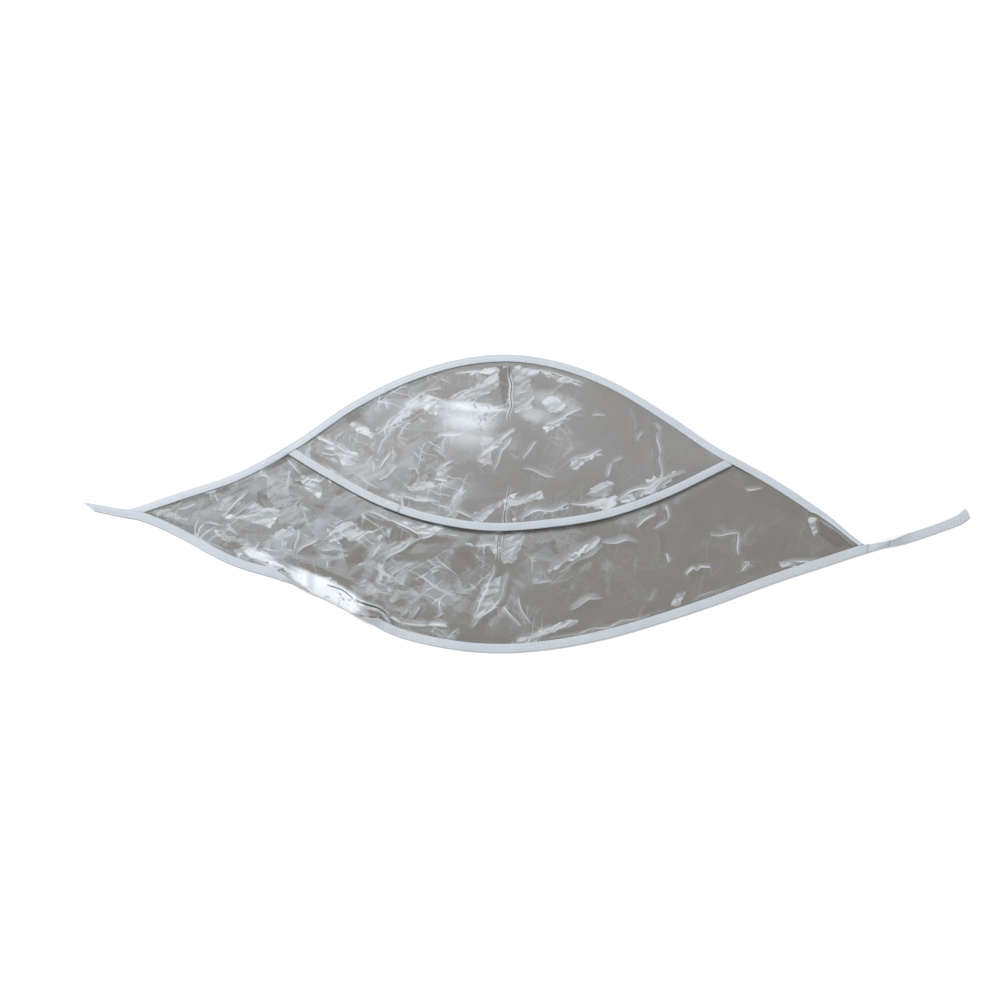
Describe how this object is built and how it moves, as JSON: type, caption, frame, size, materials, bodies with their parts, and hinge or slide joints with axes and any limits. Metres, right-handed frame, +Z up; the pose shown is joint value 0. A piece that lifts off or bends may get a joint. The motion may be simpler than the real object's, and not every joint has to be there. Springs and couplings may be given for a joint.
{
  "type": "rain bonnet",
  "caption": "Clear film rain bonnet laid flat: a leaf-shaped sheet, a shorter flap sewn over it as a head pocket, fabric-bound edges and a chin tie at each corner.",
  "frame": {"origin": "middle of the laid bonnet's outline, on the table that it lies on", "axes": "+X from the left corner and its short tie to the right corner and its long tie, +Y from the lower edge to the top edge, +Z up from the table"},
  "size_m": [0.7092, 0.258, 0.0192],
  "materials": {
    "sheet_film": "thin clear film with a smoky grey cast, glossy and creased from folding",
    "flap_film": "thin clear film, glossy, with fine white creases",
    "binding_tape": "thin bluish white non-woven tape, folded over the edge and stitched along"
  },
  "bodies": {
    "root": {"back_panel": "sheet_film", "front_flap": "flap_film", "top_binding": "binding_tape", "flap_hem_binding": "binding_tape", "tie_binding": "binding_tape"}
  },
  "joints": []
}
